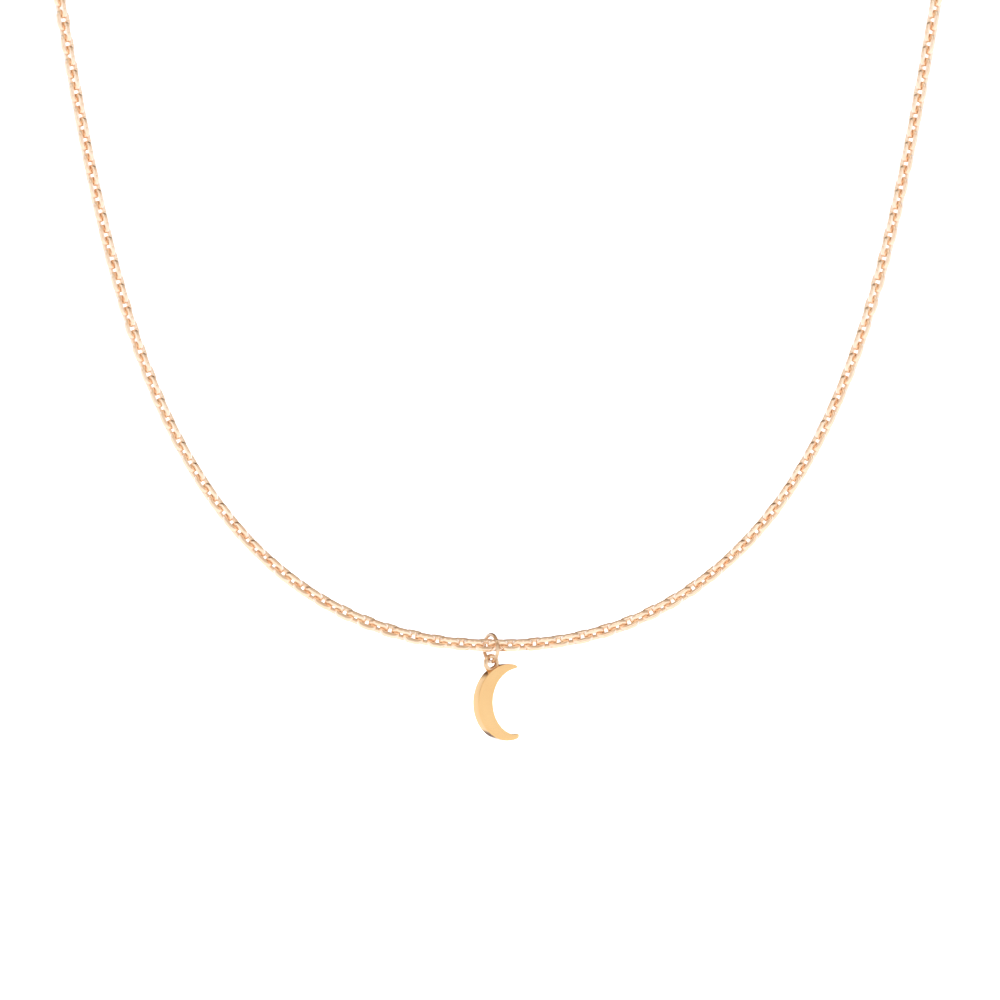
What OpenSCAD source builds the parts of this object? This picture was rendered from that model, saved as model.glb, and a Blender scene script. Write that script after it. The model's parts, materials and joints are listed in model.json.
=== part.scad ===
// Pendant necklace: a fine cable chain worn round the neck, with a small solid crescent moon that
// hangs from it by a loop and a jump ring, and a spring ring clasp at the nape.
//
// Frame: +Z up, +X to the viewer's right, +Y away from the viewer. The origin is the middle of the
// neck opening, level with the place where the front drape leaves the neck. The front drape hangs
// in an upright plane; the rest of the chain goes back over the sides of the neck to the clasp.

/* [Chain] */
// Diameter of the wire that the links are bent from
wire_d = 0.55; // [0.5:0.01:0.55]
// Outside width of one link
link_w = 1.78; // [1.74:0.01:1.85]
// Distance from one link's middle to the next
link_pitch = 1.46; // [1.45:0.01:1.54]
// Slack between one link's end and the next
link_gap = 0.05; // [0.03:0.01:0.06]
// Links on each side of the middle link
links_per_side = 153; // [148:1:165]
// How far the links are turned back and forth as the chain settles, in degrees
twist_swing = 4; // [0:1:20]
// Length of chain over which that turning repeats
twist_length = 61; // [50:1:90]

/* [Drape] */
// Slope that the drape steepens towards, in degrees
drape_slope = 81.6; // [79:0.2:84]
// Length over which it steepens from level at its lowest point
drape_scale = 47.9; // [46:0.1:50]
// How late it steepens: 1 starts at once, and more keeps the lowest part flatter
drape_bow = 1.2; // [1.1:0.05:1.3]
// Links on each side, from the lowest point, that hang in the upright front plane
drape_links = 74; // [74:1:78]
// Radius of the bend where the chain turns back over the side of the neck
shoulder_r = 20; // [15:1:24]
// Rise of the neck chain towards the nape, in degrees
nape_rise = 20; // [10:1:30]

/* [Moving chain] */
// Links on each side of the middle that belong to the lowest moving length
bottom_links = 12; // [8:1:14]
// Links on each side in each moving length above it
run_links = 10; // [8:1:10]

/* [Jump ring] */
// Outside diameter of the jump ring that carries the moon
jump_d = 3.65; // [3.6:0.05:3.8]
// Wire diameter of that ring
jump_wire_d = 0.48; // [0.4:0.02:0.5]
// How far the ring's middle hangs below the chain's
jump_drop = 0.3; // [0.26:0.02:0.34]
// How far the ring has slid to the left of the joint between two links
jump_slide = 0.1; // [0:0.05:0.2]
// Turn of the ring from square across the chain, in degrees
jump_turn = 30; // [26:1:34]

/* [Crescent moon] */
// Radius of the moon's outer edge
moon_r = 4.62; // [4.4:0.02:4.9]
// Radius of the hollow edge
hollow_r = 4.05; // [4:0.01:4.1]
// Distance from the outer edge's middle to the hollow edge's
hollow_offset = 1.62; // [1.56:0.02:1.68]
// Thickness of the moon
moon_t = 1.1; // [0.9:0.05:1.3]
// Length trimmed off each horn's point
horn_trim = 0.68; // [0.5:0.02:0.8]
// Turn of the moon about the upright, in degrees
moon_turn = 38; // [34:1:42]
// Tilt of the moon in its own plane, in degrees
moon_tilt = 1.4; // [0:0.1:3]

/* [Moon loop] */
// Outside diameter of the loop soldered to the moon
loop_d = 2.2; // [2.1:0.01:2.3]
// Wire diameter of the loop
loop_wire_d = 0.58; // [0.54:0.01:0.6]
// How far the loop is sunk into the moon's edge
loop_sink = 0.45; // [0.35:0.01:0.5]
// Where the loop stands on the moon's edge, in degrees from level, above its centre of mass
loop_at = 115.8; // [114.5:0.1:117]

/* [Clasp] */
// Outside diameter of the spring ring
clasp_d = 6; // [5.8:0.1:6.4]
// Diameter of its tube
tube_d = 1.4; // [1.3:0.05:1.4]
// Diameter of the bolt that slides in the tube
bolt_d = 0.72; // [0.7:0.01:0.74]
// Clearance round the bolt, on the radius
bolt_gap = 0.06; // [0.04:0.01:0.08]
// Travel of the bolt as it opens, in degrees
bolt_travel = 45; // [44:1:46]
// Outside diameter of the clasp's jump ring
clasp_ring_d = 2.8; // [2.7:0.05:3]
// Outside diameter of the end ring that the clasp hooks
end_ring_d = 3.1; // [3.1:0.05:3.4]
// Wire diameter of both rings
end_wire_d = 0.5; // [0.45:0.01:0.5]

/* [Hidden] */
FRONT_RUNS = 6;
NECK_RUNS = 4;

GOLD = [0.93, 0.72, 0.55];
STEEL = [0.75, 0.75, 0.77];
RIGHT = 1;
LEFT = -1;
RAD = 180 / PI;
FINE = 48;
MOON_FINE = 192;

// Chain: sizes of one link, and the links' numbers where each length of chain ends.
wire_r = wire_d / 2;
bend_r = (link_w - wire_d) / 2;
inner_len = link_pitch + link_gap;
side_half = (inner_len + 2 * wire_d - link_w) / 2;
front_last = [for (k = [0 : FRONT_RUNS]) bottom_links + k * run_links];
neck_links = links_per_side - front_last[FRONT_RUNS];
neck_last = [for (k = [0 : NECK_RUNS]) links_per_side - floor(neck_links * (NECK_RUNS - k) / NECK_RUNS)];

function tanh(x) = (exp(2 * x) - 1) / (exp(2 * x) + 1);
function unit(v) = v / norm(v);
function across(v, t) = unit(v - (v * t) * t);
function smooth(x) = let (c = min(max(x, 0), 1)) c * c * (3 - 2 * c);

// Clasp: sizes, and places along the nape from the last link on the right to the last on the left.
tube_r = tube_d / 2;
bore_r = bolt_d / 2 + bolt_gap;
clasp_r = clasp_d / 2 - tube_r;
end_wire_r = end_wire_d / 2;
end_ring_r = end_ring_d / 2 - end_wire_r;
clasp_ring_r = clasp_ring_d / 2 - end_wire_r;
eyelet_wire_r = 0.25;
eyelet_r = 0.65;
eyelet_sink = 0.12;
ring_from_link = inner_len / 2 - end_wire_r - link_gap;
clasp_from_ring = end_ring_r - end_wire_r - tube_r - link_gap;
eyelet_from_clasp = clasp_r + tube_r + eyelet_r + eyelet_wire_r - eyelet_sink;
ring_from_eyelet = eyelet_r - eyelet_wire_r - end_wire_r - link_gap;
clasp_span = ring_from_link + end_ring_r + clasp_from_ring + clasp_r + eyelet_from_clasp
    + ring_from_eyelet + clasp_ring_r + clasp_ring_r + ring_from_link;
end_link_x = clasp_span / 2;
end_ring_x = end_link_x - ring_from_link - end_ring_r;
clasp_x = end_ring_x - clasp_from_ring - clasp_r;
eyelet_x = clasp_x - eyelet_from_clasp;
clasp_ring_x = eyelet_x - ring_from_eyelet - clasp_ring_r;

// The chain's path, by length from its lowest point: the drape steepens towards its slope, a
// bend turns it back, a straight runs along the side of the neck, and a quarter circle ends at
// the nape. The straight takes up whatever length is left.
function drape_angle(s) = drape_slope * tanh(pow(s / drape_scale, drape_bow));
function drape_dir(s) = [cos(drape_angle(s)), 0, sin(drape_angle(s))];
function step_front(last) =
    [for (i = 0, p = [0, 0, 0]; i <= last; p = p + link_pitch * drape_dir((i + 0.5) * link_pitch),
        i = i + 1) p];
front_points = step_front(drape_links);
drape_end = drape_links * link_pitch;
back_dir = [0, cos(nape_rise), sin(nape_rise)];
neck_up = [0, -sin(nape_rise), cos(nape_rise)];
shoulder_turn = acos(drape_dir(drape_end) * back_dir);
shoulder_end = drape_end + shoulder_r * shoulder_turn / RAD;
nape_r = front_points[drape_links][0]
    + shoulder_r * tan(shoulder_turn / 2) * drape_dir(drape_end)[0] - end_link_x;
nape_start = links_per_side * link_pitch - nape_r * PI / 2;

function shoulder_dir(a) =
    (sin(shoulder_turn - a) * drape_dir(drape_end) + sin(a) * back_dir) / sin(shoulder_turn);
function nape_dir(a) = cos(a) * back_dir - sin(a) * [1, 0, 0];
function chain_dir(s) =
    s < drape_end ? drape_dir(s)
    : s < shoulder_end ? shoulder_dir((s - drape_end) / shoulder_r * RAD)
    : s < nape_start ? back_dir
    : nape_dir(min((s - nape_start) / nape_r * RAD, 90));
// The direction that stays square to the chain and level with the wearer's skin
function chain_side(s) =
    let (f = smooth((s - drape_end) / (shoulder_end - drape_end)))
    across((1 - f) * [0, -1, 0] + f * neck_up, chain_dir(s));

// Points where the links' middles stand, stepping one pitch along the path at a time
function step_along(last) =
    [for (i = 0, p = [0, 0, 0]; i <= last; p = p + link_pitch * chain_dir((i + 0.5) * link_pitch),
        i = i + 1) p];
path_points = step_along(links_per_side);
last_point = path_points[links_per_side];
lowest_point = [0, -last_point[1] / 2, -front_points[drape_links][2]];

// Each link is turned a quarter turn from its neighbours. The chain settles with a slow twist,
// quicker on the left, and comes to lie flat against the nape at the clasp.
LEFT_TWISTS = 1.3;
EVEN_ROLL = 45;
function settle(s, side) =
    twist_swing * sin(360 * s / twist_length * (side == LEFT ? LEFT_TWISTS : 1));
function link_roll(i, side) =
    let (s = i * link_pitch,
        base = i % 2 == 0 ? EVEN_ROLL : -EVEN_ROLL,
        flat = links_per_side % 2 == 0 ? EVEN_ROLL : -EVEN_ROLL,
        f = smooth((s - shoulder_end) / (nape_start - shoulder_end + nape_r)))
    base + f * flat + (1 - f) * settle(s, side);

// Clasp angles, from the end ring's side round towards the eyelet at 180
gap_from = 40;
gap_to = 78;
socket_depth = 10;
bolt_tip = gap_to - bolt_travel;
bolt_tail = 138;
knob_at = 92;
knob_r = 0.22;
knob_h = 0.55;
slot_margin = 7;
slot_half = knob_r + bolt_gap;
bore_end = 305;
cut_past = 2;
spring_slack = 2;
spring_wire_r = 0.06;
spring_turns = 12;
spring_sides = 6;
spring_steps = 9;

// Moon, loop and jump ring, from the chain's lowest point
jump_wire_r = jump_wire_d / 2;
jump_r = jump_d / 2 - jump_wire_r;
loop_wire_r = loop_wire_d / 2;
loop_r = loop_d / 2 - loop_wire_r;
loop_gap = 0.04;
jump_x = -link_pitch / 2 - jump_slide;
jump_place = lowest_point + [jump_x, 0, -jump_drop];
loop_place = jump_place - [0, 0, jump_r + loop_r - loop_wire_r - jump_wire_r - loop_gap];
loop_reach = moon_r + loop_r + loop_wire_r - loop_sink;
horn_x = (moon_r * moon_r - hollow_r * hollow_r + hollow_offset * hollow_offset)
    / (2 * hollow_offset);

// A ring of round wire about Z, or a part of one
module wire_ring(r, wire, from = 0, turn = 360) {
    rotate([0, 0, from])
        rotate_extrude(angle = turn, $fn = FINE)
            translate([r, 0])
                circle(r = wire, $fn = FINE / 2);
}

// One oval link: its length along X, its width along Y
module chain_link() {
    for (end = [-1, 1])
        translate([end * side_half, 0, 0])
            wire_ring(bend_r, wire_r, -90 * end, 180);
    for (side = [-1, 1])
        translate([0, side * bend_r, 0])
            rotate([0, 90, 0])
                cylinder(r = wire_r, h = 2 * side_half, center = true, $fn = FINE / 2);
}

// Stands a link at its place on the right-hand side of the chain
module at_link(i, side) {
    s = i * link_pitch;
    t = chain_dir(s);
    b = chain_side(s);
    n = cross(b, t);
    u = cos(link_roll(i, side)) * n + sin(link_roll(i, side)) * b;
    w = cross(t, u);
    p = lowest_point + path_points[i];
    multmatrix([
        [t[0], u[0], w[0], p[0]],
        [t[1], u[1], w[1], p[1]],
        [t[2], u[2], w[2], p[2]],
        [0, 0, 0, 1]
    ])
        children();
}

// A length of chain on one side, from one numbered link to another
module chain_run(first, last, side) {
    color(GOLD)
        mirror([side == LEFT ? 1 : 0, 0, 0])
            for (i = [first : last])
                at_link(i, side)
                    chain_link();
}

module bottom_chain_left() {
    chain_run(1, front_last[0], LEFT);
}

// The middle link counts with the right-hand side
module bottom_chain_right() {
    chain_run(0, front_last[0], RIGHT);
}

module front_chain(k, side) {
    chain_run(front_last[k - 1] + 1, front_last[k], side);
}

module neck_chain(k, side) {
    chain_run(neck_last[k - 1] + 1, neck_last[k], side);
}

// The ring's axis lies level, turned from the chain's direction
module moon_jump_ring() {
    color(GOLD)
        translate(jump_place)
            rotate([0, 90, jump_turn])
                wire_ring(jump_r, jump_wire_r);
}

// Stands what is drawn flat, with the loop at the origin, upright under the jump ring
module at_moon() {
    translate(loop_place)
        rotate([90, 0, moon_turn])
            children();
}

module moon_loop() {
    color(GOLD)
        at_moon()
            wire_ring(loop_r, loop_wire_r);
}

module crescent_moon() {
    color(GOLD)
        at_moon()
            translate(-loop_reach * [cos(loop_at), sin(loop_at), 0])
                rotate([0, 0, moon_tilt])
                    difference() {
                        cylinder(r = moon_r, h = moon_t, center = true, $fn = MOON_FINE);
                        translate([hollow_offset, 0, 0])
                            cylinder(r = hollow_r, h = 2 * moon_t, center = true, $fn = MOON_FINE);
                        translate([horn_x - horn_trim, -moon_r, -moon_t])
                            cube([moon_r, 2 * moon_r, 2 * moon_t]);
                    }
}

// Lays what is drawn flat against the nape: X stays level, Y points up the neck
module at_nape(x) {
    translate(lowest_point + [x, last_point[1], last_point[2]])
        rotate([90 + nape_rise, 0, 0])
            children();
}

// The tube of the spring ring, with the bolt's bore, the socket for its tip and the knob's slot
module clasp_body() {
    color(GOLD)
        at_nape(clasp_x)
            difference() {
                wire_ring(clasp_r, tube_r, gap_to, 360 - gap_to + gap_from);
                wire_ring(clasp_r, bore_r, gap_to - cut_past, bore_end - gap_to + cut_past);
                wire_ring(clasp_r, bore_r, gap_from - socket_depth, socket_depth + cut_past);
                rotate([0, 0, knob_at - slot_margin])
                    rotate_extrude(angle = bolt_travel + 2 * slot_margin, $fn = FINE)
                        translate([clasp_r, -slot_half])
                            square([2 * tube_r, 2 * slot_half]);
            }
}

module clasp_bolt() {
    color(GOLD)
        at_nape(clasp_x) {
            wire_ring(clasp_r, bolt_d / 2, bolt_tip, bolt_tail - bolt_tip);
            rotate([0, 0, knob_at])
                translate([clasp_r, 0, 0])
                    rotate([0, 90, 0])
                        cylinder(r = knob_r, h = tube_r + knob_h, $fn = FINE);
        }
}

// A coil of round wire that lies along the tube's bore behind the bolt
module clasp_spring() {
    steps = spring_turns * spring_steps;
    coil_r = bore_r - spring_wire_r - bolt_gap / 2;
    from = bolt_tail + spring_slack;
    span = bore_end - from - spring_slack;
    out = function (a) [cos(a), sin(a), 0];
    centre = function (k)
        let (a = from + span * k / steps, c = 360 * k / spring_steps)
        (clasp_r + coil_r * cos(c)) * out(a) + [0, 0, coil_r * sin(c)];
    forward = function (k) unit(centre(k + 0.5) - centre(k - 0.5));
    points = [for (k = [0 : steps])
        let (f = forward(k), a = from + span * k / steps,
            e = across(out(a), f), g = cross(f, e))
        for (j = [0 : spring_sides - 1])
            centre(k) + spring_wire_r * (cos(360 * j / spring_sides) * e
                + sin(360 * j / spring_sides) * g)];
    sides = [for (k = [0 : steps - 1], j = [0 : spring_sides - 1])
        let (a = k * spring_sides, b = a + spring_sides, n = (j + 1) % spring_sides)
        each [[a + j, b + j, b + n], [a + j, b + n, a + n]]];
    ends = [[for (j = [0 : spring_sides - 1]) j],
        [for (j = [spring_sides - 1 : -1 : 0]) steps * spring_sides + j]];
    color(STEEL)
        at_nape(clasp_x)
            polyhedron(points, concat(sides, ends));
}

module clasp_eyelet() {
    color(GOLD)
        at_nape(eyelet_x)
            wire_ring(eyelet_r, eyelet_wire_r);
}

module clasp_jump_ring() {
    color(GOLD)
        at_nape(clasp_ring_x)
            rotate([90, 0, 0])
                wire_ring(clasp_ring_r, end_wire_r);
}

module end_ring() {
    color(GOLD)
        at_nape(end_ring_x)
            rotate([90, 0, 0])
                wire_ring(end_ring_r, end_wire_r);
}

crescent_moon();
moon_loop();
moon_jump_ring();
bottom_chain_left();
bottom_chain_right();
for (k = [1 : FRONT_RUNS]) {
    front_chain(k, LEFT);
    front_chain(k, RIGHT);
}
for (k = [1 : NECK_RUNS]) {
    neck_chain(k, LEFT);
    neck_chain(k, RIGHT);
}
clasp_body();
clasp_bolt();
clasp_spring();
clasp_eyelet();
clasp_jump_ring();
end_ring();
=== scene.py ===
"""Pendant necklace: the visual model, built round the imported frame."""
import json
import math
import random

import bmesh
import bpy
import numpy as np
from mathutils import Matrix, Vector


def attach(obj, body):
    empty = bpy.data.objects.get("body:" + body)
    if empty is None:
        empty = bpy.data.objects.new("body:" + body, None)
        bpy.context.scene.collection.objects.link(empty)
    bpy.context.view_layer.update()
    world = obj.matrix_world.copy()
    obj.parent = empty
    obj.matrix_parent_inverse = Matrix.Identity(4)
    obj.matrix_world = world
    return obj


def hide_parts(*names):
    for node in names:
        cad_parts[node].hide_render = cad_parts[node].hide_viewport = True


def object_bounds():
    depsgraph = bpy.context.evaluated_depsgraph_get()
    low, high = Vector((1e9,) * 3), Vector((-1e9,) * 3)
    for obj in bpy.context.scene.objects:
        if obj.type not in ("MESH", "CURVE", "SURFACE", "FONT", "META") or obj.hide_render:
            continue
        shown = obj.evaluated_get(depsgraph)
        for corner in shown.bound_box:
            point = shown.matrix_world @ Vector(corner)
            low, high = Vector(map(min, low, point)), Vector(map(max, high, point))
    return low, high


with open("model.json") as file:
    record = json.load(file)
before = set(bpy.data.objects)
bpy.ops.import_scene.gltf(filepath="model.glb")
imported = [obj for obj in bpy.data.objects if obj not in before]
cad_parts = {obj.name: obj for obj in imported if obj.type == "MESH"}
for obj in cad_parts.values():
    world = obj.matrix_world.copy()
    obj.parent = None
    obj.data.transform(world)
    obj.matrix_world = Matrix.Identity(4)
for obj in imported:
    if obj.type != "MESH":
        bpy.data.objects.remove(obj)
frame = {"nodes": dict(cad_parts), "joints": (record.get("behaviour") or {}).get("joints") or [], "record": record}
CAD_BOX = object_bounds()
NODES = frame["nodes"]
BODIES = frame["record"]["behaviour"]["bodies"]
JOINTS = {j["name"]: j for j in frame["joints"]}
BODY_OF = {node: body for body, nodes in BODIES.items() for node in nodes}

MM = 0.001
UP = Vector((0, 0, 1))
TURN = 2 * math.pi
WELD = 1e-7
# the only random draws are the links' rolls
random.seed(7)


# ---------------------------------------------------------------- mesh helpers
def new_piece(name, vertices, faces):
    """A smooth-shaded mesh object made from points and faces, added to the scene."""
    mesh = bpy.data.meshes.new(name)
    mesh.from_pydata([tuple(v) for v in vertices], [], faces)
    mesh.validate()
    mesh.polygons.foreach_set("use_smooth", [True] * len(mesh.polygons))
    mesh.update()
    piece = bpy.data.objects.new(name, mesh)
    bpy.context.scene.collection.objects.link(piece)
    return piece


def face_outward(piece):
    """Welds points that coincide, then turns every face outward."""
    work = bmesh.new()
    work.from_mesh(piece.data)
    bmesh.ops.remove_doubles(work, verts=work.verts, dist=WELD)
    bmesh.ops.recalc_face_normals(work, faces=work.faces)
    work.to_mesh(piece.data)
    work.free()


def round_angles(sides):
    """Angles in radians, evenly spaced round a circle."""
    return [TURN * j / sides for j in range(sides)]


def open_tube(rings, loop):
    """Points and faces between rings of points. A loop's last ring joins its first."""
    points = [p for ring in rings for p in ring]
    sides = len(rings[0])
    faces = []
    for i in range(len(rings) if loop else len(rings) - 1):
        a, b = i * sides, (i + 1) % len(rings) * sides
        for j in range(sides):
            k = (j + 1) % sides
            faces.append((a + j, b + j, b + k, a + k))
    return points, faces


def closed_tube(rings, loop):
    """The same, and where the rings aren't a loop, a flat face at each end."""
    points, faces = open_tube(rings, loop)
    sides = len(rings[0])
    if not loop:
        faces.append(tuple(range(sides - 1, -1, -1)))
        faces.append(tuple(range(len(points) - sides, len(points))))
    return points, faces


def rounding(share):
    """0 at a rounded end, rising like a quarter circle to 1 once share reaches 1."""
    share = max(0.0, min(share, 1.0))
    return math.sqrt(1 - (1 - share) ** 2)


def islands(mesh):
    """The separate solids of a node, each as its faces' triangles."""
    work = bmesh.new()
    work.from_mesh(mesh)
    bmesh.ops.remove_doubles(work, verts=work.verts, dist=WELD)
    bmesh.ops.triangulate(work, faces=work.faces)
    seen, found = set(), []
    for start in work.faces:
        if start in seen:
            continue
        seen.add(start)
        stack, group = [start], []
        while stack:
            face = stack.pop()
            group.append([v.co.copy() for v in face.verts])
            for edge in face.edges:
                for other in edge.link_faces:
                    if other not in seen:
                        seen.add(other)
                        stack.append(other)
        found.append(group)
    work.free()
    return found


def principal_frame(triangles):
    """A solid's middle, its axes from longest to shortest, and its size along each."""
    corners = np.array([[tuple(p) for p in t] for t in triangles])
    areas = np.linalg.norm(
        np.cross(corners[:, 1] - corners[:, 0], corners[:, 2] - corners[:, 0]), axis=1
    )
    middles = corners.mean(axis=1)
    middle = (middles * areas[:, None]).sum(axis=0) / areas.sum()
    off = middles - middle
    _, vectors = np.linalg.eigh((off * areas[:, None]).T @ off)
    axes = vectors[:, ::-1].T
    if np.linalg.det(axes) < 0:
        axes[2] *= -1
    spread = (corners.reshape(-1, 3) - middle) @ axes.T
    low, high = spread.min(axis=0), spread.max(axis=0)
    return Vector(middle), [Vector(a) for a in axes], Vector(high - low)


# ------------------------------------------------------------------- materials
PATCH_EDGES = (0.32, 0.68)
SMEAR_FINENESS = 2.7
SCRATCH_FINENESS = 6
SCRATCH_STRETCH = (1.0, 1.0, 0.04)
SCRATCH_TILT = (0.3, 0.5, 0.2)
BUMP_STRENGTH = 0.35
STEEL_MARKS_PER_M = 9000.0
STEEL_DARK = (0.36, 0.36, 0.38)
STEEL_PALE = (0.62, 0.62, 0.64)
STEEL_POLISH = (0.18, 0.34)


def principled(name, metallic=1.0):
    """A new material, with its node tree and its shader."""
    material = bpy.data.materials.new(name)
    material.use_nodes = True
    tree = material.node_tree
    shader = tree.nodes["Principled BSDF"]
    shader.inputs["Metallic"].default_value = metallic
    return material, tree, shader


def add(tree, kind, **inputs):
    """A new node. An input's name is given with _ for each space."""
    node = tree.nodes.new(kind)
    for key, value in inputs.items():
        node.inputs[key.replace("_", " ")].default_value = value
    return node


def noise(tree, place, **inputs):
    """Noise that lies still on the object it colours."""
    node = add(tree, "ShaderNodeTexNoise", **inputs)
    tree.links.new(place.outputs["Object"], node.inputs["Vector"])
    return node


def ramp(tree, source, stops):
    """A colour ramp over a 0 to 1 value, from (place, colour) pairs."""
    node = tree.nodes.new("ShaderNodeValToRGB")
    elements = node.color_ramp.elements
    for element, (place, colour) in zip(elements, stops):
        element.position, element.color = place, (*colour, 1)
    for place, colour in stops[len(elements):]:
        elements.new(place).color = (*colour, 1)
    tree.links.new(source, node.inputs["Fac"])
    return node


def uneven_polish(tree, shader, source, polish):
    """Roughness that follows a 0 to 1 value, between the two ends of polish."""
    rough = add(tree, "ShaderNodeMapRange", To_Min=polish[0], To_Max=polish[1])
    tree.links.new(source, rough.inputs["Value"])
    tree.links.new(rough.outputs["Result"], shader.inputs["Roughness"])


def plated_gold(name, pale, deep, patch_size, polish, grain_size, grain_depth, scratch=0.0):
    """Polished plating: slow colour patches, uneven polish, fine grain and hairline scratches."""
    material, tree, shader = principled(name)
    place = tree.nodes.new("ShaderNodeTexCoord")
    patches = noise(tree, place, Scale=1 / patch_size, Detail=4.0, Roughness=0.6)
    colour = ramp(tree, patches.outputs["Fac"], list(zip(PATCH_EDGES, (deep, pale))))
    tree.links.new(colour.outputs["Color"], shader.inputs["Base Color"])
    smear = noise(tree, place, Scale=SMEAR_FINENESS / patch_size, Detail=6.0, Roughness=0.7)
    uneven_polish(tree, shader, smear.outputs["Fac"], polish)

    grain = noise(tree, place, Scale=1 / grain_size, Detail=3.0, Roughness=0.5)
    height = grain.outputs["Fac"]
    if scratch:
        stretch = add(tree, "ShaderNodeMapping", Scale=SCRATCH_STRETCH, Rotation=SCRATCH_TILT)
        lines = add(tree, "ShaderNodeTexNoise", Scale=SCRATCH_FINENESS / grain_size, Detail=2.0)
        tree.links.new(place.outputs["Object"], stretch.inputs["Vector"])
        tree.links.new(stretch.outputs["Vector"], lines.inputs["Vector"])
        both = tree.nodes.new("ShaderNodeMath")
        both.operation = "MULTIPLY_ADD"
        both.inputs[1].default_value = scratch
        tree.links.new(lines.outputs["Fac"], both.inputs[0])
        tree.links.new(grain.outputs["Fac"], both.inputs[2])
        height = both.outputs["Value"]
    bump = add(tree, "ShaderNodeBump", Strength=BUMP_STRENGTH, Distance=grain_depth)
    tree.links.new(height, bump.inputs["Height"])
    tree.links.new(bump.outputs["Normal"], shader.inputs["Normal"])
    return material


def drawn_steel(name):
    """Bright spring wire with fine drawing marks."""
    material, tree, shader = principled(name)
    place = tree.nodes.new("ShaderNodeTexCoord")
    marks = noise(tree, place, Scale=STEEL_MARKS_PER_M, Detail=3.0)
    colour = ramp(tree, marks.outputs["Fac"], [(0.3, STEEL_DARK), (0.7, STEEL_PALE)])
    tree.links.new(colour.outputs["Color"], shader.inputs["Base Color"])
    uneven_polish(tree, shader, marks.outputs["Fac"], STEEL_POLISH)
    return material


MOON_GOLD = plated_gold(
    "moon_gold", pale=(0.90, 0.58, 0.272), deep=(0.87, 0.535, 0.244), patch_size=5 * MM,
    polish=(0.10, 0.2), grain_size=0.5 * MM, grain_depth=0.004 * MM, scratch=0.3,
)
RING_GOLD = plated_gold(
    "ring_gold", pale=(0.90, 0.68, 0.48), deep=(0.54, 0.34, 0.20), patch_size=0.8 * MM,
    polish=(0.06, 0.18), grain_size=0.2 * MM, grain_depth=0.003 * MM,
)
CHAIN_GOLD = plated_gold(
    "chain_gold", pale=(1.0, 0.84, 0.68), deep=(0.98, 0.74, 0.56), patch_size=1.6 * MM,
    polish=(0.10, 0.24), grain_size=0.15 * MM, grain_depth=0.003 * MM,
)
CLASP_GOLD = plated_gold(
    "clasp_gold", pale=(0.98, 0.66, 0.40), deep=(0.92, 0.56, 0.31), patch_size=3 * MM,
    polish=(0.08, 0.2), grain_size=0.3 * MM, grain_depth=0.003 * MM, scratch=0.25,
)
SPRING_STEEL = drawn_steel("spring_steel")


def finish_piece(piece, material, node):
    """Gives a piece its material, slot and body, and has it stand for a CAD node."""
    piece.data.materials.append(material)
    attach(piece, BODY_OF[node])
    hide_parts(node)


# ----------------------------------------------------------------- chain links
LINK_BEND_STEPS = 13
LINK_SIDE_STEPS = 4
LINK_SIDES = 16
# how far the wire's corners reach, against half its width across the flats
CORNER_REACH = 1.17
# degrees either way that a link may lie turned about its length
LOOSE_ROLL = 3.5
# the soldered seam: its depth as a share of the wire's radius, and its start, middle and end
# as shares of the link's length, from the middle of one side
SEAM_DEPTH = 0.05
SEAM_PLACES = (0.018, 0.03, 0.042)


def cut_wire(angle, wire):
    """The wire's radius at an angle round it: four flats with soft corners between them."""
    flat = 1 / max(abs(math.cos(angle)), abs(math.sin(angle)))
    return wire * min(flat, CORNER_REACH)


def link_route(length, width, wire_d):
    """Points round a link's oval, each with its outward direction and its thickness."""
    bend = (width - wire_d) / 2
    half = (length - width) / 2
    route = []
    for end in (1, -1):
        for i in range(LINK_BEND_STEPS):
            a = math.radians(-90 + 180 * i / (LINK_BEND_STEPS - 1))
            out = Vector((math.cos(a), math.sin(a), 0)) * end
            route.append((Vector((end * half, 0, 0)) + bend * out, out, 1.0))
        side = Vector((0, end, 0))
        for i in range(1, LINK_SIDE_STEPS):
            x = end * half * (1 - 2 * i / LINK_SIDE_STEPS)
            route.append((Vector((x, 0, 0)) + bend * side, side, 1.0))
            if end == 1 and i == LINK_SIDE_STEPS // 2:
                for step, grow in zip(SEAM_PLACES, (1.0, 1 - SEAM_DEPTH, 1.0)):
                    seam = Vector((x - step * length, 0, 0)) + bend * side
                    route.append((seam, side, grow))
    return route


def link_rings(length, width, wire_d):
    """One link's cross-sections, in its own frame: length on X, width on Y."""
    rings = []
    for middle, out, grow in link_route(length, width, wire_d):
        ring = []
        for j in range(LINK_SIDES):
            a = TURN * (j + 0.5) / LINK_SIDES
            r = cut_wire(a, wire_d / 2) * grow
            ring.append(middle + r * (math.cos(a) * out + math.sin(a) * UP))
        rings.append(ring)
    return rings


def chain_piece(node):
    """Every link of one CAD chain node, each where its own solid lies."""
    points, faces = [], []
    for triangles in islands(NODES[node].data):
        middle, axes, (length, width, wire_d) = principal_frame(triangles)
        roll = math.radians(random.uniform(-LOOSE_ROLL, LOOSE_ROLL))
        turn = Matrix(axes).transposed() @ Matrix.Rotation(roll, 3, "X")
        link_points, link_faces = closed_tube(link_rings(length, width, wire_d), loop=True)
        base = len(points)
        points += [turn @ p + middle for p in link_points]
        faces += [tuple(base + i for i in face) for face in link_faces]
    piece = new_piece(node + "_links", points, faces)
    finish_piece(piece, CHAIN_GOLD, node)


for chain_node in sorted(n for n in NODES if "chain" in n):
    chain_piece(chain_node)


# ----------------------------------------------------------------------- rings
RING_STEPS = 96
RING_SIDES = 28
# a cut ring's gap in degrees, and its wire's size at the cut
CUT_GAP = 1.1
CUT_EDGE = 0.93
# a soldered foot: how much thicker than the wire, and how many degrees it spreads
FOOT_GROWTH = 0.22
FOOT_SPREAD = 30


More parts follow.
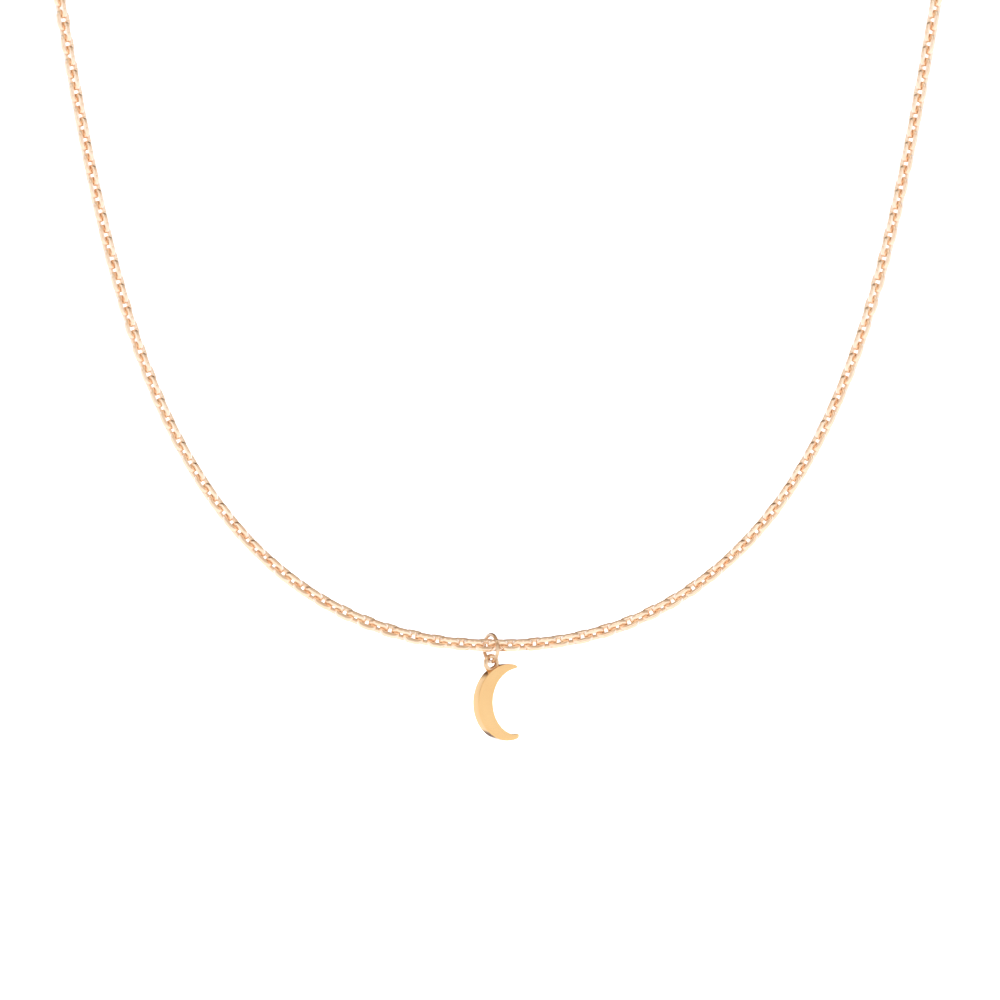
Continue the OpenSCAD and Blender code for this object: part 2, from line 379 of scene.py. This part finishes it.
def on_axis(node, axis):
    """A ring node's middle and its outer size across the ring and along its axis."""
    corners = [v.co for v in NODES[node].data.vertices]
    middle = sum(corners, Vector()) / len(corners)
    along = [(c - middle).dot(axis) for c in corners]
    away = [((c - middle) - (c - middle).dot(axis) * axis).length for c in corners]
    middle += axis * (max(along) + min(along)) / 2
    return middle, 2 * max(away), max(along) - min(along)


def ring_piece(name, node, axis, start, material, seam=None, foot=None):
    """A ring of round wire. seam is the angle of a cut in it, and foot that of a soldered foot."""
    middle, across, wire_d = on_axis(node, axis)
    wire = wire_d / 2
    radius = across / 2 - wire
    # angles are counted from the direction across the ring that is nearest to start
    first = (start - start.dot(axis) * axis).normalized()
    second = axis.cross(first)
    cut = math.radians(CUT_GAP) if seam is not None else 0
    begin = math.radians(seam or 0) + cut / 2
    count = RING_STEPS if seam is None else RING_STEPS + 1
    rings = []
    for i in range(count):
        a = begin + (TURN - cut) * i / RING_STEPS
        grow = 1.0
        if foot is not None:
            away = abs((math.degrees(a) - foot + 180) % 360 - 180)
            grow += FOOT_GROWTH * math.exp(-((away / FOOT_SPREAD) ** 2))
        if seam is not None and i in (0, count - 1):
            grow = CUT_EDGE
        out = math.cos(a) * first + math.sin(a) * second
        # the wire grows inward, so the ring's outer size stays
        rings.append([
            middle + out * (radius + wire * grow * math.cos(b) - wire * (grow - 1))
            + axis * wire * grow * math.sin(b)
            for b in round_angles(RING_SIDES)
        ])
    points, faces = closed_tube(rings, loop=seam is None)
    piece = new_piece(name, points, faces)
    finish_piece(piece, material, node)


# ------------------------------------------------------------------------ moon
MOON_FACE = Vector(JOINTS["moon_swing"]["axis"]).normalized()
MOON_STATIONS = 120
MOON_SECTION = 10
MOON_EDGE = 0.07 * MM
# the softened edge takes at most this share of the bar's width or thickness
EDGE_SHARE = 0.45
# points nearer to the middle than this share of the radius are on the hollow
RIM_SHARE = 0.985
# points within this share of the radius of the foremost one are on a horn's tip
TIP_SHARE = 0.02
# each horn: the shares of its thickness and width left at the very tip, and the shares of the
# sweep over which the thickness, and the upper and lower horn's width, come to their full size
HORN_THIN = 0.45
HORN_BLUNT = 0.3
HORN_NOSE = 0.05
UPPER_POINT = 0.05
LOWER_POINT = 0.035
# the lower horn is fuller: by how much, and over what share of the sweep
HORN_SWELL = 0.5
SWELL_REACH = 0.06


def moon_outline(node):
    """The crescent's two circles, read from the solid: centre, radii, hollow's offset and axes."""
    face = MOON_FACE
    upward = principal_frame(islands(NODES[node].data)[0])[1][0]
    upward = (upward - upward.dot(face) * face).normalized() * (1 if upward.z > 0 else -1)
    rightward = upward.cross(face)
    points = [v.co for v in NODES[node].data.vertices]
    across = [p.dot(rightward) for p in points]
    up = [p.dot(upward) for p in points]
    depth = [p.dot(face) for p in points]
    radius = (max(up) - min(up)) / 2
    middle_up = (max(up) + min(up)) / 2
    middle_across = min(across) + radius
    thick = max(depth) - min(depth)
    middle = (
        rightward * middle_across + upward * middle_up + face * (max(depth) + min(depth)) / 2
    )
    horn_x = max(across) - middle_across
    inner = [
        (a - middle_across, u - middle_up)
        for a, u in zip(across, up)
        if math.hypot(a - middle_across, u - middle_up) < radius * RIM_SHARE
    ]
    waist = min(a for a, u in inner)
    tip_up = max(abs(u) for a, u in inner if a > horn_x - TIP_SHARE * radius)
    # the hollow's circle passes the waist (waist, 0) and the horn (horn_x, tip_up)
    offset = (horn_x ** 2 + tip_up ** 2 - waist ** 2) / (2 * (horn_x - waist))
    return middle, radius, offset, offset - waist, horn_x, thick, rightward, upward


def moon_section(width, thick):
    """A rounded bar's outline: points (across, through), starting on the outer edge."""
    outline = []
    edge = min(MOON_EDGE, width * EDGE_SHARE, thick * EDGE_SHARE)
    for corner_x, corner_z, start in (
        (width - edge, thick / 2 - edge, 0),
        (edge, thick / 2 - edge, 90),
        (edge, -thick / 2 + edge, 180),
        (width - edge, -thick / 2 + edge, 270),
    ):
        for i in range(MOON_SECTION):
            a = math.radians(start + 90 * i / (MOON_SECTION - 1))
            outline.append((corner_x + edge * math.cos(a), corner_z + edge * math.sin(a)))
    return outline


def crescent_piece():
    """The moon: a bar swept from the upper horn to the lower, between its two circles."""
    middle, radius, offset, hollow, horn_x, thick, right, up = moon_outline("crescent_moon")
    outer_end = math.acos(horn_x / radius)
    inner_end = math.acos((horn_x - offset) / hollow)
    rings = []
    for i in range(MOON_STATIONS + 1):
        # stations crowd towards the horns
        t = 0.5 - 0.5 * math.cos(math.pi * i / MOON_STATIONS)
        outer_a = outer_end + (TURN - 2 * outer_end) * t
        inner_a = inner_end + (TURN - 2 * inner_end) * t
        outer = Vector((radius * math.cos(outer_a), radius * math.sin(outer_a)))
        inner = Vector((offset + hollow * math.cos(inner_a), hollow * math.sin(inner_a)))
        bar_thick = thick * (HORN_THIN + (1 - HORN_THIN) * rounding(min(t, 1 - t) / HORN_NOSE))
        away = (outer - inner).normalized()
        swell = 1 + HORN_SWELL * math.exp(-(((1 - t) / SWELL_REACH) ** 2))
        blunt = min(rounding(t / UPPER_POINT), rounding((1 - t) / LOWER_POINT))
        point = HORN_BLUNT + (1 - HORN_BLUNT) * blunt
        full = (outer - inner).length * swell
        inner = outer - away * full * (1 + point) / 2
        rings.append([
            middle + right * (inner + away * x).x + up * (inner + away * x).y + MOON_FACE * z
            for x, z in moon_section(full * point, bar_thick)
        ])
    points, faces = closed_tube(rings, loop=False)
    piece = new_piece("crescent_moon_polished", points, faces)
    finish_piece(piece, MOON_GOLD, "crescent_moon")


def pendant_rings():
    """The loop soldered to the moon, and the cut jump ring that hangs it on the chain."""
    towards_moon = moon_outline("crescent_moon")[0] - on_axis("moon_loop", MOON_FACE)[0]
    ring_piece("moon_loop_wire", "moon_loop", MOON_FACE, towards_moon, RING_GOLD,
               foot=0)
    jump_axis = principal_frame(islands(NODES["moon_jump_ring"].data)[0])[1][2]
    jump_axis *= 1 if jump_axis.x > 0 else -1
    ring_piece("moon_jump_ring_wire", "moon_jump_ring", jump_axis, UP, RING_GOLD,
               seam=56)


crescent_piece()
pendant_rings()


# ----------------------------------------------------------------------- clasp
BOLT = JOINTS["clasp_bolt_slide"]
CLASP_AXIS = Vector(BOLT["axis"]).normalized()
CLASP_MIDDLE = Vector(BOLT["pos_m"])
CLASP_RIGHT = Vector((1, 0, 0))
CLASP_UP = CLASP_AXIS.cross(CLASP_RIGHT)
# the bolt's points within the first of these, in rod radii past the tube's middle, are its rod,
# and those beyond the second are its stem and knob
ROD_REACH = 1.1
STEM_START = 1.2
# the knob's slot: degrees past the knob at either end, and room beside it
SLOT_MARGIN = 6.0
SLOT_CLEAR = 0.06 * MM
SLOT_INNER_MOST = 1.2
TUBE_STEPS = 150
TUBE_SIDES = 40
# the tube's lips: degrees that they round over, where, and by how much of the radius
LIP = 1.6
LIP_STEPS = (0.15, 0.5, 1)
LIP_ROUND = 0.05
BOLT_STEPS = 60
BOLT_SIDES = 20
# the rod's ends: degrees that they round over, and their size at the very end
ROD_NOSE = 5.0
ROD_TIP = 0.35
# the stem in the tube, and the knob above it as (share of its height, share of its width)
STEM_WIDTH = 0.75
KNOB_PROFILE = [
    (0.0, STEM_WIDTH), (0.18, 0.8), (0.30, 1.0), (0.35, 0.9), (0.42, 1.0), (0.47, 0.9),
    (0.54, 1.0), (0.59, 0.9), (0.66, 1.0), (0.71, 0.9), (0.8, 0.98), (0.92, 0.8), (1.0, 0.4),
]


def clasp_out(radians):
    """The direction away from the clasp's middle, at an angle round it."""
    return math.cos(radians) * CLASP_RIGHT + math.sin(radians) * CLASP_UP


def clasp_place(radius, degrees, through=0.0):
    """A point on the clasp: how far out, at what angle round it, and how far through."""
    return CLASP_MIDDLE + radius * clasp_out(math.radians(degrees)) + through * CLASP_AXIS


def turned_angles(node):
    """A node's points about the clasp's middle: angle in degrees, distance and height."""
    found = []
    for v in NODES[node].data.vertices:
        off = v.co - CLASP_MIDDLE
        angle = math.degrees(math.atan2(off.dot(CLASP_UP), off.dot(CLASP_RIGHT))) % 360
        distance = math.hypot(off.dot(CLASP_RIGHT), off.dot(CLASP_UP))
        found.append((angle, distance, off.dot(CLASP_AXIS)))
    return found


def clasp_sizes():
    """The tube's, bore's and bolt's radii, and where the mouth, the bolt and its knob lie."""
    body = turned_angles("clasp_body")
    tube = max(h for _, _, h in body)
    ring = max(r for _, r, _ in body) - tube
    bore = min(math.hypot(r - ring, h) for _, r, h in body)
    # the mouth is the widest gap in the tube's points
    angles = sorted(a for a, _, _ in body)
    gap, gap_from = max((b - a, a) for a, b in zip(angles, angles[1:]))
    bolt = turned_angles("clasp_bolt")
    rod = max(h for _, _, h in bolt)
    rod_angles = [a for a, r, _ in bolt if r < ring + rod * ROD_REACH]
    stem = [(a, r, h) for a, r, h in bolt if r > ring + rod * STEM_START]
    return {
        "ring": ring, "tube": tube, "bore": bore, "gap_from": gap_from, "gap_to": gap_from + gap,
        "rod": rod, "tip": min(rod_angles), "tail": max(rod_angles),
        "knob_at": sum(a for a, _, _ in stem) / len(stem),
        "knob_top": max(r for _, r, _ in stem), "knob": max(h for _, _, h in stem),
    }


CLASP = clasp_sizes()


def slot_half_angle(degrees):
    """Half the width of the knob's slot at this place, in radians round the tube."""
    low = CLASP["knob_at"] - SLOT_MARGIN
    high = CLASP["knob_at"] + BOLT["range_deg"][1] + SLOT_MARGIN
    half = math.asin((CLASP["knob"] + SLOT_CLEAR) / CLASP["tube"])
    end = math.degrees((CLASP["knob"] + SLOT_CLEAR) / (CLASP["ring"] + CLASP["tube"]))
    return half * rounding(min(degrees - low, high - degrees) / end)


def tube_arc(radius, start, finish):
    """Points (radius, angle) round the tube, from start to finish."""
    return [(radius, start + (finish - start) * j / TUBE_SIDES) for j in range(TUBE_SIDES + 1)]


def clasp_body_piece():
    """The spring ring's tube: hollow, with a mouth, rounded lips and a slot for the knob."""
    begin, finish = CLASP["gap_to"], CLASP["gap_from"] + 360
    places = [begin + (finish - begin) * i / TUBE_STEPS for i in range(TUBE_STEPS + 1)]
    places += [begin + LIP * f for f in LIP_STEPS] + [finish - LIP * f for f in LIP_STEPS]
    rings = []
    for place in sorted(set(places)):
        near = min(place - begin, finish - place)
        soft = 1 - LIP_ROUND * (1 - min(near / LIP, 1)) ** 2
        half = slot_half_angle(place)
        inner_half = min(half * CLASP["tube"] / CLASP["bore"], SLOT_INNER_MOST)
        section = tube_arc(CLASP["tube"] * soft, half, TURN - half)
        section += tube_arc(CLASP["bore"] * (2 - soft), TURN - inner_half, inner_half)
        rings.append([clasp_place(CLASP["ring"] + r * math.cos(b), place, r * math.sin(b))
                      for r, b in section])
    points, faces = open_tube(rings, loop=False)
    # each lip is a ring of small faces between the outer skin and the bore
    sides = len(rings[0])
    for base, turn in ((0, -1), ((len(rings) - 1) * sides, 1)):
        for j in range(TUBE_SIDES):
            quad = (base + j, base + j + 1, base + sides - 2 - j, base + sides - 1 - j)
            faces.append(quad[::turn])
    piece = new_piece("clasp_body_tube", points, faces)
    face_outward(piece)
    finish_piece(piece, CLASP_GOLD, "clasp_body")


def clasp_bolt_piece():
    """The bolt: a curved rod with rounded ends, and a stem with a domed, ridged knob."""
    rings = []
    for i in range(BOLT_STEPS + 1):
        place = CLASP["tip"] + (CLASP["tail"] - CLASP["tip"]) * i / BOLT_STEPS
        near = min(place - CLASP["tip"], CLASP["tail"] - place) / ROD_NOSE
        size = CLASP["rod"] * (ROD_TIP + (1 - ROD_TIP) * rounding(near))
        rings.append([clasp_place(CLASP["ring"] + size * math.cos(b), place, size * math.sin(b))
                      for b in round_angles(BOLT_SIDES)])
    points, faces = closed_tube(rings, loop=False)

    out = clasp_out(math.radians(CLASP["knob_at"]))
    side = CLASP_AXIS.cross(out)
    foot = CLASP["ring"] + CLASP["tube"]
    cap = CLASP["knob_top"] - foot
    profile = [(CLASP["ring"], STEM_WIDTH)] + [(foot + cap * f, size) for f, size in KNOB_PROFILE]
    stem = [[CLASP_MIDDLE + out * along
             + CLASP["knob"] * size * (math.cos(b) * side + math.sin(b) * CLASP_AXIS)
             for b in round_angles(BOLT_SIDES)] for along, size in profile]
    stem_points, stem_faces = closed_tube(stem, loop=False)
    base = len(points)
    points += stem_points
    faces += [tuple(base + i for i in face) for face in stem_faces]
    piece = new_piece("clasp_bolt_rod", points, faces)
    face_outward(piece)
    finish_piece(piece, CLASP_GOLD, "clasp_bolt")


clasp_body_piece()
clasp_bolt_piece()
ring_piece("clasp_eyelet_wire", "clasp_eyelet", CLASP_AXIS, CLASP_RIGHT, CLASP_GOLD,
           foot=0)
ring_piece("clasp_jump_ring_wire", "clasp_jump_ring", CLASP_UP, CLASP_RIGHT, CLASP_GOLD,
           seam=70)
ring_piece("end_ring_wire", "end_ring", CLASP_UP, CLASP_RIGHT, CLASP_GOLD,
           foot=80)
NODES["clasp_spring"].data.materials.clear()
NODES["clasp_spring"].data.materials.append(SPRING_STEEL)


# -------------------------------------------------------------- stage and light
HANGS_FROM = JOINTS["jump_ring_swing"]["pos_m"]
LOWEST = Vector((0, HANGS_FROM[1], HANGS_FROM[2]))
# the camera: the width it takes in, how far above and beside the drape's lowest point it aims,
# and how far off it stands
VIEW_WIDTH = 120 * MM
VIEW_RISE = 17.44 * MM
VIEW_SIDE = 0.24 * MM
VIEW_DISTANCE = 600 * MM
SENSOR_WIDTH = 36
NEAREST_SEEN = 0.01
FURTHEST_SEEN = 20
# the floor, in metres: half its width, its run to the front, the bend behind and the wall above
FLOOR_DROP = 60 * MM
FLOOR_HALF_WIDTH = 3.0
FLOOR_RUN = 2.4
FLOOR_BACK = 0.35
FLOOR_BEND = 0.35
FLOOR_BEND_STEPS = 12
WALL_HEIGHT = 1.2
PAPER_FIBRES_PER_M = 400.0
PAPER_DARK = (0.93, 0.93, 0.93)
PAPER_PALE = (0.96, 0.96, 0.96)
PAPER_ROUGHNESS = 0.9
# the tent's tones, from straight down (0) to straight up (1)
TENT_HEIGHTS = [
    (0.0, (1.22, 1.16, 1.08)), (0.4, (1.16, 1.14, 1.12)), (0.5, (1.09, 1.13, 1.17)),
    (0.6, (1.02, 1.00, 0.98)), (0.75, (0.80, 0.69, 0.59)), (1.0, (0.62, 0.51, 0.41)),
]
# soft-edged patches of the tent: direction, inner and outer half angle, tone
TENT_PATCHES = [
    ((0.60, 0.80, 0.0), 28, 56, (1.17, 1.30, 1.55)),
    ((-0.60, 0.80, 0.0), 28, 56, (1.17, 1.30, 1.55)),
    ((0.0, 0.72, 0.69), 24, 40, (0.16, 0.09, 0.05)),
    ((-0.27, 0.79, -0.55), 6, 14, (0.30, 0.31, 0.44)),
    ((0.0, -1.0, 0.05), 7, 14, (0.62, 0.52, 0.46)),
    ((-0.3, -0.6, 0.74), 10, 18, (1.5, 1.45, 1.35)),
]


def blend_colours(tree, factor, colour):
    """A mix node from a colour to another, which the caller sets or links as B."""
    mix = tree.nodes.new("ShaderNodeMix")
    mix.data_type = "RGBA"
    tree.links.new(factor, mix.inputs["Factor"])
    tree.links.new(colour, mix.inputs["A"])
    return mix


def studio_tent():
    """Soft light all round: a pale tent with dark and bright patches, seen in the polish."""
    world = bpy.data.worlds.new("studio")
    world.use_nodes = True
    bpy.context.scene.world = world
    tree = world.node_tree
    background = tree.nodes["Background"]
    place = tree.nodes.new("ShaderNodeTexCoord")
    split = tree.nodes.new("ShaderNodeSeparateXYZ")
    tree.links.new(place.outputs["Generated"], split.inputs["Vector"])
    height = add(tree, "ShaderNodeMapRange", From_Min=-1, From_Max=1)
    tree.links.new(split.outputs["Z"], height.inputs["Value"])
    colour = ramp(tree, height.outputs["Result"], TENT_HEIGHTS).outputs["Color"]
    for direction, inner, outer, tone in TENT_PATCHES:
        along = tree.nodes.new("ShaderNodeVectorMath")
        along.operation = "DOT_PRODUCT"
        along.inputs[1].default_value = Vector(direction).normalized()
        tree.links.new(place.outputs["Generated"], along.inputs[0])
        share = add(tree, "ShaderNodeMapRange", From_Min=math.cos(math.radians(outer)),
                    From_Max=math.cos(math.radians(inner)))
        share.interpolation_type = "SMOOTHSTEP"
        tree.links.new(along.outputs["Value"], share.inputs["Value"])
        mix = blend_colours(tree, share.outputs["Result"], colour)
        mix.inputs["B"].default_value = (*tone, 1)
        colour = mix.outputs["Result"]
    # the camera sees plain white behind the necklace
    seen = tree.nodes.new("ShaderNodeLightPath")
    plain = blend_colours(tree, seen.outputs["Is Camera Ray"], colour)
    plain.inputs["B"].default_value = (1, 1, 1, 1)
    tree.links.new(plain.outputs["Result"], background.inputs["Color"])


def pale_sweep():
    """A plain pale floor that curves up behind the necklace into a pale wall."""
    z = CAD_BOX[0][2] - FLOOR_DROP
    back = CAD_BOX[1][1] + FLOOR_BACK
    profile = [(-FLOOR_RUN, z), (back, z)]
    for i in range(1, FLOOR_BEND_STEPS + 1):
        a = math.radians(90 * i / FLOOR_BEND_STEPS)
        profile.append((back + FLOOR_BEND * math.sin(a), z + FLOOR_BEND * (1 - math.cos(a))))
    profile.append((back + FLOOR_BEND, z + WALL_HEIGHT))
    points = [(x, y, h) for y, h in profile for x in (-FLOOR_HALF_WIDTH, FLOOR_HALF_WIDTH)]
    faces = [(2 * i, 2 * i + 1, 2 * i + 3, 2 * i + 2) for i in range(len(profile) - 1)]
    floor = new_piece("floor", points, faces)
    material, tree, shader = principled("floor_paper", metallic=0.0)
    place = tree.nodes.new("ShaderNodeTexCoord")
    fibre = noise(tree, place, Scale=PAPER_FIBRES_PER_M, Detail=4.0)
    colour = ramp(tree, fibre.outputs["Fac"], [(0.3, PAPER_DARK), (0.7, PAPER_PALE)])
    tree.links.new(colour.outputs["Color"], shader.inputs["Base Color"])
    shader.inputs["Roughness"].default_value = PAPER_ROUGHNESS
    floor.data.materials.append(material)
    floor.visible_glossy = False


def soft_light(name, place, target, size, power):
    """A square lamp that faces the target and doesn't show in the polish."""
    light = bpy.data.lights.new(name, "AREA")
    light.shape = "SQUARE"
    light.size = size
    light.energy = power
    lamp = bpy.data.objects.new(name, light)
    bpy.context.scene.collection.objects.link(lamp)
    lamp.location = place
    lamp.rotation_euler = (target - Vector(place)).to_track_quat("-Z", "Y").to_euler()
    lamp.visible_glossy = False


def camera():
    """The camera, level and straight in front of the drape."""
    data = bpy.data.cameras.new("camera")
    data.sensor_width = SENSOR_WIDTH
    data.lens = SENSOR_WIDTH * VIEW_DISTANCE / VIEW_WIDTH
    data.clip_start = NEAREST_SEEN
    data.clip_end = FURTHEST_SEEN
    eye = bpy.data.objects.new("camera", data)
    bpy.context.scene.collection.objects.link(eye)
    target = LOWEST + Vector((VIEW_SIDE, 0, VIEW_RISE))
    eye.location = target - Vector((0, VIEW_DISTANCE, 0))
    eye.rotation_euler = (math.radians(90), 0, 0)
    bpy.context.scene.camera = eye


camera()
studio_tent()
pale_sweep()
FOCUS = LOWEST + Vector((0, 0, VIEW_RISE))
soft_light("key", (-0.45, -0.55, 0.55), FOCUS, size=0.6, power=9)
soft_light("fill", (0.6, -0.5, 0.25), FOCUS, size=0.6, power=6)
soft_light("top", (0.0, 0.1, 0.9), FOCUS, size=0.8, power=8)
bpy.context.scene.view_settings.view_transform = "Standard"
bpy.context.scene.view_settings.look = "None"
